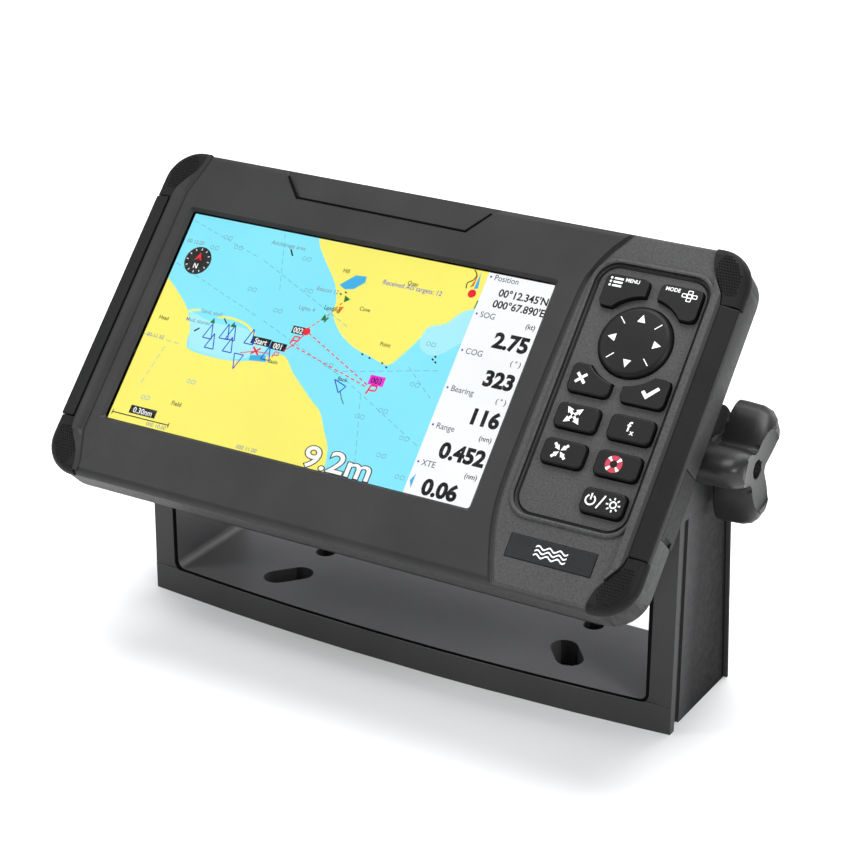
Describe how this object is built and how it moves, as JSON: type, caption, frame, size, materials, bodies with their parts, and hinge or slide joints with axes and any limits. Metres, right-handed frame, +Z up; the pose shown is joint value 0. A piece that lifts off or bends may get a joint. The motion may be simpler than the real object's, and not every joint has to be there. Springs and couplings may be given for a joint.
{
  "type": "chartplotter display",
  "caption": "Wide marine chart display with a keypad beside the screen, tilting in a U-shaped bracket between two three-lobed clamp knobs.",
  "frame": {"origin": "centre of the bracket's flat underside, straight below the tilt axis", "axes": "+X to the right seen from the front, along the tilt axis; +Y to the back; +Z up out of the bracket's base; the screen faces -Y and up"},
  "size_m": [0.2606, 0.1258, 0.1698],
  "materials": {
    "bracket": "satin near-black moulded plastic",
    "bezel": "dark grey plastic with a fine moulded grain",
    "housing": "dark grey plastic with a fine moulded grain",
    "guard_rubber": "near-black rubber with a fine diamond grip",
    "strip_rubber": "near-black rubber",
    "door_rubber": "dark grey rubber flap",
    "key_rubber": "near-black silicone rubber with white symbols",
    "seal_rubber": "black seal rubber",
    "lens_glass": "clear cover glass",
    "display": "lit chart picture",
    "nameplate": "dark satin plate, blank",
    "frame_steel": "stamped steel",
    "screw_steel": "stainless steel",
    "board": "green circuit board",
    "brass": "turned brass",
    "socket_plastic": "black moulded plastic",
    "knob_plastic": "glossy black moulded plastic"
  },
  "bodies": {
    "bracket": {"bracket_yoke": "bracket"},
    "head": {"front_bezel": "bezel", "rear_housing": "housing", "housing_seal": "seal_rubber", "screen_lens": "lens_glass", "lcd_panel": "display", "lcd_frame": "frame_steel", "main_board": "board", "keypad_board": "board", "keypad_mat": "key_rubber", "nameplate": "nameplate", "card_socket": "frame_steel", "buzzer": "socket_plastic", "vent_plug": "guard_rubber", "corner_guard_top_left": "guard_rubber", "corner_guard_top_right": "guard_rubber", "corner_guard_bottom_left": "guard_rubber", "corner_guard_bottom_right": "guard_rubber", "side_strip_left": "strip_rubber", "side_strip_right": "strip_rubber", "power_socket": "socket_plastic", "sonar_socket": "socket_plastic", "antenna_socket": "socket_plastic", "case_screw_1": "screw_steel", "case_screw_2": "screw_steel", "case_screw_3": "screw_steel", "case_screw_4": "screw_steel", "case_screw_5": "screw_steel", "case_screw_6": "screw_steel", "pivot_insert_left": "brass", "friction_washer_left": "seal_rubber", "pivot_insert_right": "brass", "friction_washer_right": "seal_rubber"},
    "card_door": {"card_door": "door_rubber"},
    "arrow_pad_gimbal": {"arrow_pad_pivot": "frame_steel"},
    "arrow_pad": {"arrow_pad": "key_rubber"},
    "key_menu": {"key_menu": "key_rubber"},
    "key_mode": {"key_mode": "key_rubber"},
    "key_cancel": {"key_cancel": "key_rubber"},
    "key_enter": {"key_enter": "key_rubber"},
    "key_zoom_out": {"key_zoom_out": "key_rubber"},
    "key_function": {"key_function": "key_rubber"},
    "key_zoom_in": {"key_zoom_in": "key_rubber"},
    "key_distress": {"key_distress": "key_rubber"},
    "key_power": {"key_power": "key_rubber"},
    "knob_left": {"knob_grip_left": "knob_plastic", "knob_stud_left": "screw_steel", "knob_washer_left": "screw_steel"},
    "knob_right": {"knob_grip_right": "knob_plastic", "knob_stud_right": "screw_steel", "knob_washer_right": "screw_steel"}
  },
  "joints": [
    {"name": "head_tilt", "type": "hinge", "parent": "bracket", "child": "head", "pos_m": [0, 0, 0.0976], "axis": [-1, 0, 0], "range_deg": [-43.9, 31.1]},
    {"name": "knob_left_turn", "type": "hinge", "parent": "head", "child": "knob_left", "pos_m": [-0.12, 0, 0.0976], "axis": [-1, 0, 0], "continuous": true},
    {"name": "knob_right_turn", "type": "hinge", "parent": "head", "child": "knob_right", "pos_m": [0.12, 0, 0.0976], "axis": [1, 0, 0], "continuous": true},
    {"name": "card_door_swing", "type": "hinge", "parent": "head", "child": "card_door", "pos_m": [0.1202, -0.03454, 0.10641], "axis": [0, -0.7206, 0.6934], "range_deg": [0, 100]},
    {"name": "arrow_pad_rock_up", "type": "hinge", "parent": "head", "child": "arrow_pad_gimbal", "pos_m": [0.0886, -0.01397, 0.14005], "axis": [1, 0, 0], "range_deg": [-2.2, 2.2], "stiffness_Nm_per_rad": 0.5},
    {"name": "arrow_pad_rock_side", "type": "hinge", "parent": "arrow_pad_gimbal", "child": "arrow_pad", "pos_m": [0.0886, -0.01397, 0.14005], "axis": [0, 0.6934, 0.7206], "range_deg": [-2.2, 2.2], "stiffness_Nm_per_rad": 0.5},
    {"name": "key_menu_press", "type": "slide", "parent": "head", "child": "key_menu", "axis": [0, 0.7206, -0.6934], "range_m": [0, 0.0005], "stiffness_N_per_m": 800, "springref_m": -0.0008},
    {"name": "key_mode_press", "type": "slide", "parent": "head", "child": "key_mode", "axis": [0, 0.7206, -0.6934], "range_m": [0, 0.0005], "stiffness_N_per_m": 800, "springref_m": -0.0008},
    {"name": "key_cancel_press", "type": "slide", "parent": "head", "child": "key_cancel", "axis": [0, 0.7206, -0.6934], "range_m": [0, 0.0005], "stiffness_N_per_m": 800, "springref_m": -0.0008},
    {"name": "key_enter_press", "type": "slide", "parent": "head", "child": "key_enter", "axis": [0, 0.7206, -0.6934], "range_m": [0, 0.0005], "stiffness_N_per_m": 800, "springref_m": -0.0008},
    {"name": "key_zoom_out_press", "type": "slide", "parent": "head", "child": "key_zoom_out", "axis": [0, 0.7206, -0.6934], "range_m": [0, 0.0005], "stiffness_N_per_m": 800, "springref_m": -0.0008},
    {"name": "key_function_press", "type": "slide", "parent": "head", "child": "key_function", "axis": [0, 0.7206, -0.6934], "range_m": [0, 0.0005], "stiffness_N_per_m": 800, "springref_m": -0.0008},
    {"name": "key_zoom_in_press", "type": "slide", "parent": "head", "child": "key_zoom_in", "axis": [0, 0.7206, -0.6934], "range_m": [0, 0.0005], "stiffness_N_per_m": 800, "springref_m": -0.0008},
    {"name": "key_distress_press", "type": "slide", "parent": "head", "child": "key_distress", "axis": [0, 0.7206, -0.6934], "range_m": [0, 0.0005], "stiffness_N_per_m": 800, "springref_m": -0.0008},
    {"name": "key_power_press", "type": "slide", "parent": "head", "child": "key_power", "axis": [0, 0.7206, -0.6934], "range_m": [0, 0.0005], "stiffness_N_per_m": 800, "springref_m": -0.0008}
  ]
}
